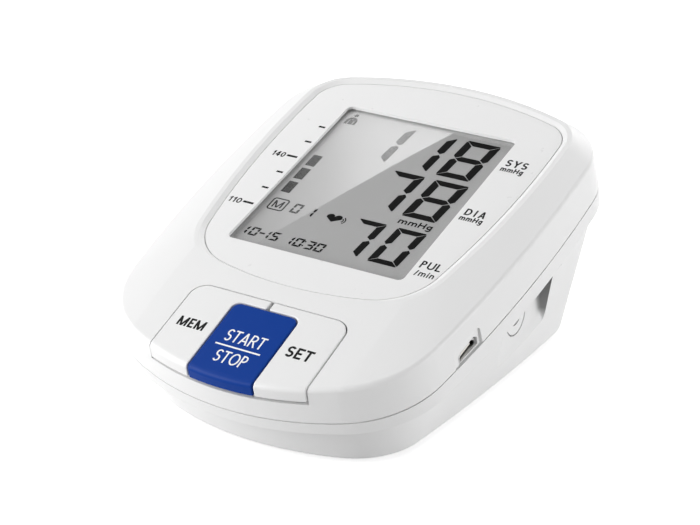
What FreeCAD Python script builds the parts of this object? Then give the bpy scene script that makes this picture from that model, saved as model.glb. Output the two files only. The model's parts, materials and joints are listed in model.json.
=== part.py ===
"""Desk-top upper-arm blood pressure monitor, main unit: case, sloping display, three keys, air socket,
micro-USB inlet, pump, valve, board and a four-cell battery bay behind a hinged door.

Millimetres. +X right, +Y rear, +Z up. The origin is on the table under the middle of the unit.
The case parts along a sloping plane. What follows the slope is drawn flat in slope axes
(x, s, n): s climbs the slope, n is square to it, n = 0 on the parting plane and s = 0 under
the middle of the display. lift() then puts it in place.
"""
import FreeCAD
import Part
import math
import os
from collections import namedtuple

V = FreeCAD.Vector
Outline = namedtuple("Outline", "front r_front side r_side side_at rear r_rear c_front c_rear")

# ---- driving dimensions ------------------------------------------------------------------
CASE_TILT = 15.9          # slope of the parting plane and of the display, degrees
SLOPE_Y = 10.93           # where s = 0, n = 0 lies
SLOPE_Z = 33.3

# plan of the case on the parting plane: crowned edges joined by round corners
CASE = Outline(front=-71.2, r_front=70.0, side=45.85, r_side=390.0, side_at=4.5,
               rear=49.0, r_rear=100.0, c_front=24.6, c_rear=18.0)
BORDER = 10.15            # side of the case to side of the panel
# plan of the display panel
PANEL = Outline(front=-40.2, r_front=88.0, side=CASE.side - BORDER, r_side=250.0, side_at=19.0,
                rear=43.0, r_rear=92.0, c_front=15.5, c_rear=8.5)
# plan of the lower housing's body under its flange: rounder rear corners than the case
BODY = CASE._replace(c_rear=CASE.c_rear + 3.0)
# plan of the foot of the lower housing, in table axes
BASE = Outline(front=-48.6, r_front=66.6, side=36.4, r_side=650.0, side_at=23.3,
               rear=52.8, r_rear=100.0, c_front=18.0, c_rear=11.0)

WALL = 2.2                # housing wall
CREASE_N = 9.6            # height of the fold between side band and shoulder
BAND_DRAFT = 0.6          # how far the side band leans in by then
PANEL_N = 11.93           # face of the display panel
CREST_N = 12.5            # top of the rim round the panel
RIM_GROOVE = 0.25         # panel edge to the foot of the rim
RIM_WIDTH = 2.6           # panel edge to the outside of the rim
RIM_RISE = 0.48           # rise of the rim's inner slope per millimetre
DECK_AT = -41.3           # where the front deck leaves the panel level
DECK_FALL = 0.1           # fall of the deck per millimetre
FOLD_R = 1.2              # rounding of the fold
CEILING_N = 8.4           # inside of the upper housing under the panel
FRONT_CEILING_N = 7.3     # and under the deck
FRONT_CEILING_AT = -44.0

FLANGE_N = 4.85           # depth of the lower housing's flange
FLANGE_FRONT_N = 5.7      # towards the front its lower edge rises: depth carried back to s = 0,
FLANGE_TURN = 2.0         # and how many degrees flatter than the slope it is there
REVEAL_H = 0.35           # shadow gap along the parting line
REVEAL_D = 0.8
STEP_IN = 0.8             # flange edge to the top of the body
STEP_N = 3.7              # depth of that top at s = 0, inside the flange
STEP_TURN = 0.8           # and how many degrees flatter than the slope it is
WAIST_IN = 3.0            # flange edge to the waist of the body
WAIST_N = 9.5             # depth of the waist at s = 0
WAIST_TURN = 4.84         # the waist is this many degrees flatter than the slope
BASE_Z = 1.0              # underside of the lower housing above the table
BASE_R = 2.0              # rounding of its lower edge

PANEL_T = 0.8             # display panel
WINDOW_W = 49.0           # clear opening in the panel
WINDOW_L = 58.5
WINDOW_R = 1.5
PANE_W = 55.0             # clear pane behind the opening
PANE_L = 64.5
PANE_T = 0.6
LCD_W = 52.4              # liquid crystal cell
LCD_L = 61.9
LCD_T = 2.8
LCD_GAP = 0.2             # air between the pane and the cell
LCD_EDGE = 1.5            # step of the holder under the cell's edge
HOLDER_WALL = 2.2
STRIP_W = 2.0             # elastomer strips between cell and board
STRIP_L = 44.0
FIT = 0.2                 # clearance of fitted, fixed pieces

BOARD_N = 2.65            # underside of the main board
BOARD_T = 1.6
BOARD_SIDE = CASE.side - 6.35
BOARD_MID = (-44.0, 21.0)     # s range of its wide part
BOARD_NOSE = 21.0         # half width under the keys
BOARD_FRONT = -63.5
BOARD_TAIL = 27.5         # half width behind the case bosses
BOARD_REAR = 34.0

KEY_GAP = 0.35            # running gap round each key
KEY_TRAVEL = 0.7
KEY_PROUD = 0.2           # keys stand above the deck
KEY_SKIN = 1.6
KEY_EDGE = 0.3            # rounding of the keys' upper edges
KEY_SLIT = 0.85           # slit between the side keys behind the middle one
KEY_SLIT_X = -0.2
KEYS_SIDE = 21.4          # half width of the key group, to the middle of its gap
KEYS_REAR = -46.1
KEYS_CORNER = 4.2
KEYS_FOOT_N = 6.1         # lower edge of the keys' aprons
OVER_N = 2.5 * PANEL_N    # a height clear above everything on the slope
START_SIDE = 8.85         # half width of the middle key, to the middle of its gap
START_REAR = -48.85
START_CORNER = 2.1
SWITCH_S = -58.0
SWITCH_X = 15.1
SWITCH_SIZE = 6.0
SWITCH_TOP_N = 7.0
SWITCH_STEM = 1.4         # how far a plunger sits in its switch
PLUNGER_R = 1.6
KEY_RIB_N = 7.9           # underside of the keys' pressing bosses
KEY_RIB_R = 2.6

USB_S = -34.6             # middle of the micro-USB mouth
USB_L = 5.4               # its shell: depth, width, height, wall
USB_W = 7.5
USB_H = 2.5
USB_SKIN = 0.3
USB_CORNER = (1.2, 0.95)  # corners cut off the shell's upper side: width, height
USB_GAP = 0.3             # round the shell in the housing
USB_TONGUE_W = 4.8
USB_TONGUE_T = 0.6
USB_TONGUE_LOW = 0.65     # its underside above the bottom of the shell
USB_MOUTH_X = CASE.side - 2.85
USB_POCKET = (-40.3, -29.6, 4.8)     # s range and height of the pocket round the mouth
USB_POCKET_X = CASE.side - 2.55      # its floor at the mouth
USB_POCKET_TURN = 3.0     # which follows the side band's curve, degrees
USB_POCKET_R = 1.3

CELL_D = 14.5             # four AA cells
CELL_L = 50.5
CELL_COUNT = 4
CELL_GAP = 0.45
BAY_FRONT = -31.5
BAY_SPARE = 6.5           # room for the contacts
BAY_WALL = 1.6
NUB_R = 2.6               # cell's raised pole
NUB_L = 1.0
CONTACT_T = 0.4           # contact plates
CONTACT_SIZE = 10.0
SPRING_R = 3.4
SPRING_WIRE = 0.7
SPRING_TURNS = 3
DOOR_T = 1.8
DOOR_LEDGE = 2.0          # seat of the door round the bay
DOOR_GAP = 0.3
DOOR_FRAME = 3.2          # thickening of the floor round the door
DOOR_FRAME_W = 2.9
TAB_X = 16.0              # hinge tabs of the door
TAB_W = 6.0
TAB_L = 2.0
TAB_T = 0.8
TAB_ROOM = 1.3            # room above a tab for its swing
TONGUE_W = 14.0           # latch tongue of the door, cut free by two slits
TONGUE_L = 9.0
TONGUE_SLIT = 0.8
GRIP_W = 0.8              # grooves of its finger grip
GRIP_PITCH = 1.8
GRIP_DEPTH = 0.4

RECESS_X = BASE.side + 1.9           # wall that carries the air socket
RECESS = (-16.3, 7.4, -25.5)         # its recess: s range and lower end
RECESS_CORNER = 4.5       # round lower corners
RECESS_SWEEP = 5.0        # round run-out of the wall at the lower end
RECESS_R = 0.8            # rounding between the wall and the recess's ends
SOCKET_Y = 11.0
SOCKET_Z = 18.2
SOCKET_HOLE_R = 5.0       # round opening in the wall
SOCKET_RING_R = 4.6       # collar that shows in it
SOCKET_FLANGE_R = 6.2     # flange behind the wall
SOCKET_FLANGE_T = 1.0
SOCKET_BODY_R = 4.2
SOCKET_BORE_R = 2.3
SOCKET_BORE_L = 7.0
SOCKET_BACK = 6.0         # length behind the wall
LOCK_RING_R = 5.4
LOCK_RING_T = 1.2
BOARD_POST_R = 2.4
BOARD_SCREW_R = 0.9
BOARD_SCREW_HEAD = (1.9, 1.3)
BOARD_SCREW_L = 4.1
BOARD_POSTS = ((CASE.side - 10.35, -37.5), (CASE.side - 10.35, 16.0))

CHIP = (14.0, 14.0, 1.6)  # control chip, under the board
CHIP_S = -20.0
BUZZER_R = 6.0
BUZZER_H = 3.2
BUZZER_HOLE_R = 1.0
BUZZER_AT = (-25.0, -22.0)
CAPACITOR_R = 3.1
CAPACITOR_L = 6.5
CAPACITOR_AT = (24.0, -20.0)

BARB_R = 1.5
BARB_L = 4.2
TUBE_R = 2.4
TUBE_BEND = 2.7
TUBE_RISE = 1.4           # straight stretch of the socket tube between its bends
TUBE_END = 0.3            # from a tube's end to the face behind its barb

FOOT_R = 4.0
FOOT_SINK = 0.6           # how far a foot sits in the floor
FEET = ((12.0, -39.3), (15.0, 43.8))
CASE_SCREWS = ((26.0, -36.6), (31.5, 36.3))
BOSS_R = 4.2
UPPER_BOSS_R = 2.8
SCREW_SHANK_R = 1.25
SCREW_HEAD_R = 2.4
SCREW_HEAD_H = 1.9
SCREW_CROSS = (3.2, 0.7, 0.8)        # cross recess: length, width, depth
SCREW_L = 12.0
SCREW_SEAT = 6.0          # boss left above the screw head, below the parting plane

PUMP_Y = 38.4
PUMP_Z = 18.0
MOTOR_R = 11.0
MOTOR_X = (-25.0, 0.0)
HEAD_X = (0.0, 21.5)
HEAD_SIZE = 22.0
CRADLE_T = 2.0
CRADLE_H = 6.5            # height of the cradles below the pump's axis, taken off its radius
CRADLE_AT = (-18.0, -5.0)
MOTOR_TAIL = (3.0, 1.5)   # bearing boss at the motor's end: radius, length
HEAD_ROUND = 3.0
HEAD_NOSE = 4.0
PAD_IN = 2.0              # pump pad, in from the ends of the pump head
PAD_HALF = 7.0

MANIFOLD = (6.0, 18.0, 8.0, 17.0)    # x and y ranges of the air manifold
MANIFOLD_H = 8.0
MANIFOLD_PORT_L = 1.8     # its port towards the sensor
VALVE = (-14.0, 2.0, 7.5, 17.5)
VALVE_H = 10.2
SENSOR_X = 12.0
SENSOR_SIZE = 9.0
SENSOR_H = 3.7
SENSOR_PORT_R = 1.2
SENSOR_PORT_L = 2.4
SENSOR_TUBE_R = 2.2

# ---- helpers -----------------------------------------------------------------------------


def lift(shape):
    """Put a shape drawn in slope axes in its place."""
    out = shape.copy()
    out.rotate(V(0, 0, 0), V(1, 0, 0), CASE_TILT)
    out.translate(V(0, SLOPE_Y, SLOPE_Z))
    return out


def to_slope(y, z):
    """(s, n) of a point in table axes."""
    a = math.radians(CASE_TILT)
    dy = y - SLOPE_Y
    dz = z - SLOPE_Z
    return dy * math.cos(a) + dz * math.sin(a), dz * math.cos(a) - dy * math.sin(a)


def parting_z(y):
    """Height of the parting plane above a point of the table."""
    return SLOPE_Z + (y - SLOPE_Y) * math.tan(math.radians(CASE_TILT))


def corner_centre(c1, r1, c2, r2, right_of):
    """Centre of a circle that touches two others from inside. r1 and r2 are what is left of their radii."""
    dx = c2[0] - c1[0]
    dy = c2[1] - c1[1]
    d = math.hypot(dx, dy)
    along = (r1 * r1 - r2 * r2 + d * d) / (2 * d)
    off = math.sqrt(max(r1 * r1 - along * along, 0.0))
    ends = []
    for side in (1, -1):
        across = side * off
        ends.append((c1[0] + (along * dx - across * dy) / d, c1[1] + (along * dy + across * dx) / d))
    return max(ends, key=lambda p: p[0] * right_of[0] + p[1] * right_of[1])


def away(c, p, r):
    """The point at distance r from c towards p."""
    k = r / math.hypot(p[0] - c[0], p[1] - c[1])
    return (c[0] + (p[0] - c[0]) * k, c[1] + (p[1] - c[1]) * k)


def outline(o, inset=0.0, z=0.0):
    """Closed wire of eight arcs: crowned front, sides and rear, and a round corner between each pair."""
    rf, rs, rr = o.r_front - inset, o.r_side - inset, o.r_rear - inset
    cf, cr = o.c_front - inset, o.c_rear - inset
    front = (0.0, o.front + o.r_front)
    side = (o.side - o.r_side, o.side_at)
    rear = (0.0, o.rear - o.r_rear)
    kf = corner_centre(front, rf - cf, side, rs - cf, (1, -1))
    kr = corner_centre(rear, rr - cr, side, rs - cr, (1, 1))
    f_end, s_start = away(front, kf, rf), away(side, kf, rs)
    s_end, r_start = away(side, kr, rs), away(rear, kr, rr)
    mid_f = away(kf, (f_end[0] + s_start[0] - kf[0], f_end[1] + s_start[1] - kf[1]), cf)
    mid_r = away(kr, (s_end[0] + r_start[0] - kr[0], s_end[1] + r_start[1] - kr[1]), cr)
    mid_s = away(side, (side[0] + rs, (s_start[1] + s_end[1]) / 2), rs)
    right = [(f_end, mid_f, s_start), (s_start, mid_s, s_end), (s_end, mid_r, r_start)]
    left = [tuple((-p[0], p[1]) for p in reversed(arc)) for arc in reversed(right)]
    across_front = ((-f_end[0], f_end[1]), (0.0, o.front + inset), f_end)
    across_rear = (r_start, (0.0, o.rear - inset), (-r_start[0], r_start[1]))
    arcs = [across_front] + right + [across_rear] + left
    edges = [Part.Arc(*[V(p[0], p[1], z) for p in arc]).toShape() for arc in arcs]
    return Part.Wire(edges)


def turned(wire, degrees, n):
    """A flat outline turned about X and moved to depth n."""
    out = wire.copy()
    out.rotate(V(0, 0, 0), V(1, 0, 0), degrees)
    out.translate(V(0, 0, n))
    return out


def prism(wire, z0, z1):
    """Solid between two heights over a flat wire drawn at z = 0."""
    face = Part.Face(wire)
    face.translate(V(0, 0, z0))
    return face.extrude(V(0, 0, z1 - z0))


def box(x0, x1, y0, y1, z0, z1):
    return Part.makeBox(x1 - x0, y1 - y0, z1 - z0, V(x0, y0, z0))


def rounded_box(w, length, r, z0, z1, at=(0.0, 0.0)):
    """Upright block with round vertical edges, centred on a point."""
    hx, hy = w / 2, length / 2
    block = box(at[0] - hx, at[0] + hx, at[1] - hy, at[1] + hy, z0, z1)
    upright = [e for e in block.Edges if abs(e.Vertexes[0].Z - e.Vertexes[1].Z) > 1e-6]
    return block.makeFillet(r, upright)


def rod(r, at, length, along=(0, 0, 1)):
    return Part.makeCylinder(r, length, V(*at), V(*along))


def ring(r_out, r_in, at, length, along=(0, 0, 1)):
    return rod(r_out, at, length, along).cut(rod(r_in, at, length, along))


def fuse(*shapes):
    out = shapes[0].multiFuse(list(shapes[1:]))
    return out.removeSplitter()


def both_sides(shape):
    """The shape and its mirror image in X."""
    return [shape, shape.mirror(V(0, 0, 0), V(1, 0, 0))]


def hose(points, bend, r_out, r_in):
    """Tube along straight runs joined by bends of one radius."""
    parts = []
    start = V(*points[0])
    for before, at, after in zip(points, points[1:], points[2:]):
        p = V(*at)
        back = (V(*before) - p).normalize()
        on = (V(*after) - p).normalize()
        half = back.getAngle(on) / 2
        end = p + back * (bend / math.tan(half))
        centre = p + (back + on).normalize() * (bend / math.sin(half))
        parts.append(ring(r_out, r_in, start, (end - start).Length, end - start))
        discs = [Part.Face(Part.Wire([Part.Circle(end, back, r).toShape()])) for r in (r_out, r_in)]
        turn = 180 - 2 * math.degrees(half)
        parts.append(discs[0].cut(discs[1]).revolve(centre, back.cross(end - centre), turn))
        start = p + on * (bend / math.tan(half))
    last = V(*points[-1])
    parts.append(ring(r_out, r_in, start, (last - start).Length, last - start))
    return fuse(*parts)


PIECES = {}


def piece(name, shape):
    PIECES[name] = shape


def slope_piece(name, shape):
    piece(name, lift(shape))


# ---- forms shared by several pieces ------------------------------------------------------


def deck_cutter(drop=0.0):
    """Everything above the front deck, in slope axes."""
    reach = 60.0
    behind = 12.0
    cutter = box(-reach, reach, -reach, behind, 0.0, reach)
    cutter.rotate(V(0, 0, 0), V(1, 0, 0), math.degrees(math.atan(DECK_FALL)))
    cutter.translate(V(0, DECK_AT, PANEL_N - drop))
    return cutter


def top_form(inset=0.0, rounded=False):
    """Outside of the upper housing, or the same form inset, before anything is cut in it."""
    wires = [outline(CASE, inset, 0.0),
             outline(CASE, BAND_DRAFT + inset, CREASE_N - inset),
             outline(PANEL, inset - RIM_WIDTH, CREST_N - inset)]
    form = Part.makeLoft(wires, True, True)
    form = form.cut(deck_cutter(inset))
    if rounded:
        fold = []
        for e in form.Edges:
            b = e.BoundBox
            low = CREASE_N - inset - 1.2 < b.ZMin and b.ZMax < CREASE_N - inset + 0.05
            if low and b.DiagonalLength > 2.0:
                fold.append(e)
        form = form.makeFillet(FOLD_R - inset, fold)
    return form


def low_form(inset=0.0):
    """Outside of the lower housing in table axes, or the same form inset."""
    reach = 90.0
    flange = prism(outline(CASE, inset), inset - FLANGE_N, 0.0 if inset == 0 else 1.0)
    below = box(-reach, reach, -reach, reach, -reach, 0.0)
    flange = flange.cut(turned(below, -FLANGE_TURN, inset - FLANGE_FRONT_N))
    top = lift(turned(outline(BODY, STEP_IN + inset), -STEP_TURN, inset - STEP_N))
    waist = lift(turned(outline(BODY, WAIST_IN + inset), -WAIST_TURN, -WAIST_N))
    foot = outline(BASE, inset, BASE_Z + inset)
    body = Part.makeLoft([top, waist, foot], True, True)
    if inset == 0:
        rim = [e for e in body.Edges if e.BoundBox.ZMax < BASE_Z + 0.01]
        body = body.makeFillet(BASE_R, rim)
    return fuse(lift(flange), body)


def key_plan(side, rear, corner, grow):
    """Plan of the key group or of the middle key, open towards the front."""
    w = side + grow
    back = rear + grow
    r = corner + grow
    front = CASE.front - 12.0
    k = r * math.sqrt(0.5)
    edges = [Part.LineSegment(V(-w, front, 0), V(w, front, 0)).toShape(),
             Part.LineSegment(V(w, front, 0), V(w, back - r, 0)).toShape(),
             Part.Arc(V(w, back - r, 0), V(w - r + k, back - r + k, 0), V(w - r, back, 0)).toShape(),
             Part.LineSegment(V(w - r, back, 0), V(r - w, back, 0)).toShape(),
             Part.Arc(V(r - w, back, 0), V(r - w - k, back - r + k, 0), V(-w, back - r, 0)).toShape(),
             Part.LineSegment(V(-w, back - r, 0), V(-w, front, 0)).toShape()]
    return Part.Wire(edges)


def vertical_boss(x, y, r, form):
    """Upright boss of the case, trimmed by the form that it stands in."""
    return rod(r, (x, y, 0.0), 80.0).common(form)


# ---- case --------------------------------------------------------------------------------


def upper_housing():
    shell = top_form(0.0, rounded=True)
    room = prism(outline(CASE, WALL), -1.0, FRONT_CEILING_N)
    high = prism(outline(CASE, WALL), -1.0, CEILING_N)
    high = high.cut(box(-60, 60, -90, FRONT_CEILING_AT, -2, 20))
    shell = shell.cut(room.fuse(high))
    # seat of the display panel, with the rim's inner slope round it
    seat = prism(outline(PANEL, -FIT), PANEL_N - PANEL_T, CREST_N + 2)
    top = 1.5
    slope = Part.makeLoft([outline(PANEL, -RIM_GROOVE, PANEL_N),
                           outline(PANEL, -RIM_GROOVE - top, PANEL_N + top * RIM_RISE)], True, True)
    shell = shell.cut(seat).cut(slope)
    # pocket of the clear pane and opening for the liquid crystal cell
    floor = PANEL_N - PANEL_T
    shell = shell.cut(rounded_box(PANE_W + 2 * FIT, PANE_L + 2 * FIT, 2.0, floor - PANE_T, floor + 1))
    shell = shell.cut(rounded_box(LCD_W + 2 * FIT, LCD_L + 2 * FIT, 1.0, CEILING_N - 1, floor + 1))
    # opening of the keys, down to the lower lip
    keys = prism(key_plan(KEYS_SIDE, KEYS_REAR, KEYS_CORNER, KEY_GAP / 2), lip_n(), OVER_N)
    shell = shell.cut(keys)
    # micro-USB pocket and hole
    shell = shell.cut(usb_pocket()).cut(usb_profile(USB_GAP, CASE.side - 3 * WALL, 60))
    shell = lift(shell)
    reach = 90.0
    form = lift(top_form(1.0).common(box(-reach, reach, -reach, reach, -1.0, CEILING_N + 0.5)))
    posts = []
    for x, y in CASE_SCREWS:
        boss = vertical_boss(x, y, UPPER_BOSS_R, form)
        hole = rod(SCREW_SHANK_R, (x, y, 0.0), parting_z(y) + SCREW_L - SCREW_SEAT + 1.0)
        posts += both_sides(boss.cut(hole))
    for x, s in BOARD_POSTS:
        post = rod(BOARD_POST_R, (x, s, BOARD_N + BOARD_T), CEILING_N - BOARD_N - BOARD_T + 0.5)
        post = post.cut(rod(BOARD_SCREW_R, (x, s, 0.0), CEILING_N - 0.6))
        posts += [lift(p) for p in both_sides(post)]
    return fuse(shell, *posts)


def lip_n():
    """Top of the band that is left in front of the keys."""
    return KEYS_FOOT_N - KEY_TRAVEL - KEY_GAP


def bay_box(grow, z0, z1, ledge=0.0):
    """Block over the battery bay."""
    w = CELL_COUNT * CELL_D / 2 + (CELL_COUNT + 1) * CELL_GAP / 2 + grow + ledge
    rear = BAY_FRONT + CELL_L + BAY_SPARE
    return box(-w, w, BAY_FRONT - grow - ledge, rear + grow + ledge, z0, z1)


def bay_ceiling():
    return BASE_Z + DOOR_T + CELL_GAP + CELL_D + CELL_GAP


def socket_recess():
    """Recess of the air socket in slope axes: square to the case's slope, run out at its lower end."""
    s0, s1, low = RECESS
    wide = 30.0
    block = box(RECESS_X, RECESS_X + wide, s0, s1, low, -FLANGE_N)
    corners = [e for e in block.Edges if e.BoundBox.XLength > 1 and e.BoundBox.ZMax < low + 1]
    block = block.makeFillet(RECESS_CORNER, corners)
    run = box(RECESS_X, RECESS_X + wide, s0 - 1, s1 + 1, low, -FLANGE_N)
    inner = [e for e in run.Edges if e.BoundBox.YLength > 1 and e.BoundBox.XMax < RECESS_X + 1]
    foot = [e for e in inner if e.BoundBox.ZMax < low + 1]
    run = run.makeFillet(RECESS_SWEEP, foot)
    block = block.common(run)
    ends = [e for e in block.Edges if e.BoundBox.XMax < RECESS_X + 0.01 and e.BoundBox.ZLength > RECESS_SWEEP]
    return block.makeFillet(RECESS_R, ends)


def lower_housing():
    outside = low_form()
    room = low_form(WALL)
    top = bay_ceiling() + BAY_WALL
    reach = 90.0
    # what stays solid inside: walls and roof of the battery bay, the thick frame of its door
    frame_top = BASE_Z + DOOR_T + DOOR_FRAME
    solid = [bay_box(BAY_WALL, 0.0, top), bay_box(DOOR_LEDGE + DOOR_FRAME_W, 0.0, frame_top)]
    # the wall behind the air socket's recess
    s0, s1, low = RECESS
    solid.append(lift(box(RECESS_X - WALL, reach, s0 - WALL, s1 + WALL, low - WALL, WALL - FLANGE_N)))
    # bosses of the case screws, as high as the parting plane
    under_parting = lift(box(-reach, reach, -reach, reach, -reach, 0))
    for x, y in CASE_SCREWS:
        solid += both_sides(rod(BOSS_R, (x, y, 0), 80).common(under_parting))
    # cradles of the pump motor
    motor = rod(MOTOR_R + 0.05, (MOTOR_X[0] - 5, PUMP_Y, PUMP_Z), 60, (1, 0, 0))
    for x in CRADLE_AT:
        half = CRADLE_T / 2
        rib = box(x - half, x + half, PUMP_Y - MOTOR_R, PUMP_Y + MOTOR_R, 0, PUMP_Z - CRADLE_H)
        solid.append(rib.cut(motor))
    for block in solid:
        room = room.cut(block)
    shell = outside.cut(room)
    # hollows
    shell = shell.cut(bay_box(0.0, BASE_Z - 1, bay_ceiling()))
    shell = shell.cut(bay_box(0.0, BASE_Z - 1, BASE_Z + DOOR_T + DOOR_GAP, DOOR_LEDGE))
    for x, y in CASE_SCREWS:
        seat = parting_z(y) - SCREW_SEAT
        bore = rod(SCREW_HEAD_R + 0.3, (x, y, -1), seat + 1)
        shank = rod(SCREW_SHANK_R + 0.2, (x, y, -1), 80)
        for cutter in both_sides(bore.fuse(shank)):
            shell = shell.cut(cutter)
    for x, y in FEET:
        for cutter in both_sides(rod(FOOT_R + 0.05, (x, y, -1), 1 + BASE_Z + FOOT_SINK)):
            shell = shell.cut(cutter)
    for cutter in both_sides(tab_slot()):
        shell = shell.cut(cutter)
    shell = shell.cut(lift(socket_recess()))
    shell = shell.cut(rod(SOCKET_HOLE_R, (RECESS_X - 10, SOCKET_Y, SOCKET_Z), 20, (1, 0, 0)))
    # shadow gap along the parting line
    reveal = prism(outline(CASE, -1.0), -REVEAL_H, 1.0).cut(prism(outline(CASE, REVEAL_D), -1.0, 1.5))
    shell = shell.cut(lift(reveal))
    return shell


# ---- display -----------------------------------------------------------------------------


def display_stack():
    floor = PANEL_N - PANEL_T
    panel = prism(outline(PANEL), floor, PANEL_N)
    panel = panel.cut(rounded_box(WINDOW_W, WINDOW_L, WINDOW_R, floor - 1, PANEL_N + 1))
    slope_piece("display_panel", panel)
    slope_piece("display_window", rounded_box(PANE_W, PANE_L, 1.8, floor - PANE_T, floor))
    lcd_top = floor - PANE_T - LCD_GAP
    lcd_low = lcd_top - LCD_T
    slope_piece("lcd_glass", rounded_box(LCD_W, LCD_L, 0.8, lcd_low, lcd_top))
    # holder between the board and the ceiling, with a step that the cell lies on
    board = BOARD_N + BOARD_T
    holder = rounded_box(LCD_W + 2 * HOLDER_WALL, LCD_L + 2 * HOLDER_WALL, 2.0, board, CEILING_N)
    holder = holder.cut(rounded_box(LCD_W + 2 * FIT, LCD_L + 2 * FIT, 0.8, lcd_low, CEILING_N + 1))
    holder = holder.cut(rounded_box(LCD_W - 2 * LCD_EDGE, LCD_L - 2 * LCD_EDGE, 2.0, board - 1, CEILING_N))
    slope_piece("lcd_holder", holder)
    # elastomer strips from the cell to the board
    strips = []
    for side in (-1, 1):
        at = side * (LCD_L / 2 - LCD_EDGE - STRIP_W / 2 - FIT)
        strips.append(box(-STRIP_L / 2, STRIP_L / 2, at - STRIP_W / 2, at + STRIP_W / 2, board, lcd_low))
    slope_piece("lcd_connectors", Part.Compound(strips))


# ---- keys --------------------------------------------------------------------------------


def softened(key):
    """The key with its outer edges rounded, all but the lower edge of its apron."""
    under = top_form(KEY_SKIN - KEY_PROUD - 0.02)
    outer = []
    for e in key.Edges:
        middle = e.valueAt((e.FirstParameter + e.LastParameter) / 2)
        if e.BoundBox.ZMax > KEYS_FOOT_N + 0.01 and not under.isInside(middle, 0.001, True):
            outer.append(e)
    return key.makeFillet(KEY_EDGE, outer)


def key_shapes():
    skin = top_form(-KEY_PROUD, rounded=True).cut(top_form(KEY_SKIN - KEY_PROUD))
    half = KEY_GAP / 2
    group = prism(key_plan(KEYS_SIDE, KEYS_REAR, KEYS_CORNER, -half), KEYS_FOOT_N, OVER_N)
    middle = prism(key_plan(START_SIDE, START_REAR, START_CORNER, -half), KEYS_FOOT_N, OVER_N)
    around = prism(key_plan(START_SIDE, START_REAR, START_CORNER, half), 0, OVER_N)
    sides = group.cut(around).common(skin)
    wide = 2 * CASE.side
    left = sides.common(box(-wide, KEY_SLIT_X - KEY_SLIT / 2, -wide, 0, 0, OVER_N))
    right = sides.common(box(KEY_SLIT_X + KEY_SLIT / 2, wide, -wide, 0, 0, OVER_N))
    return {"mem_button": (softened(left), -SWITCH_X),
            "start_stop_button": (softened(middle.common(skin)), 0.0),
            "set_button": (softened(right), SWITCH_X)}


def keys_and_switches():
    board = BOARD_N + BOARD_T
    solids = []
    for name, (shape, x) in key_shapes().items():
        rib = rod(KEY_RIB_R, (x, SWITCH_S, KEY_RIB_N), 20).common(top_form(KEY_SKIN / 2))
        slope_piece(name, fuse(shape, rib))
        rest = SWITCH_TOP_N - SWITCH_STEM
        slope_piece(name.replace("button", "plunger"), rod(PLUNGER_R, (x, SWITCH_S, rest), KEY_RIB_N - rest))
        body = rounded_box(SWITCH_SIZE, SWITCH_SIZE, 0.8, board, SWITCH_TOP_N, (x, SWITCH_S))
        body = body.cut(rod(PLUNGER_R + KEY_GAP, (x, SWITCH_S, rest - KEY_TRAVEL - KEY_GAP), SWITCH_TOP_N))
        solids.append(body)
    slope_piece("key_switches", Part.Compound(solids))


# ---- board -------------------------------------------------------------------------------


def usb_profile(grow, x0, x1):
    """Block with the outline of the micro-USB shell, or that outline grown."""
    half = USB_W / 2 + grow
    low = BOARD_N - USB_H - grow
    top = BOARD_N + grow
    cut_w, cut_h = USB_CORNER
    right = [(half, low), (half, top - cut_h), (half - cut_w, top)]
    points = right + [(-w, n) for w, n in reversed(right)]
    corners = [V(x0, USB_S + w, n) for w, n in points]
    return Part.Face(Part.makePolygon(corners + corners[:1])).extrude(V(x1 - x0, 0, 0))


def usb_pocket():
    """Shallow pocket of the side band round the micro-USB mouth, open downwards."""
    s0, s1, high = USB_POCKET
    pocket = box(0, 30, s0 - USB_S, s1 - USB_S, -2, high)
    tops = [e for e in pocket.Edges if e.BoundBox.ZMin > high - 0.01 and e.BoundBox.XLength > 5]
    pocket = pocket.makeFillet(USB_POCKET_R, tops)
    pocket.rotate(V(0, 0, 0), V(0, 0, 1), -USB_POCKET_TURN)
    pocket.translate(V(USB_POCKET_X, USB_S, 0))
    return pocket


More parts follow.
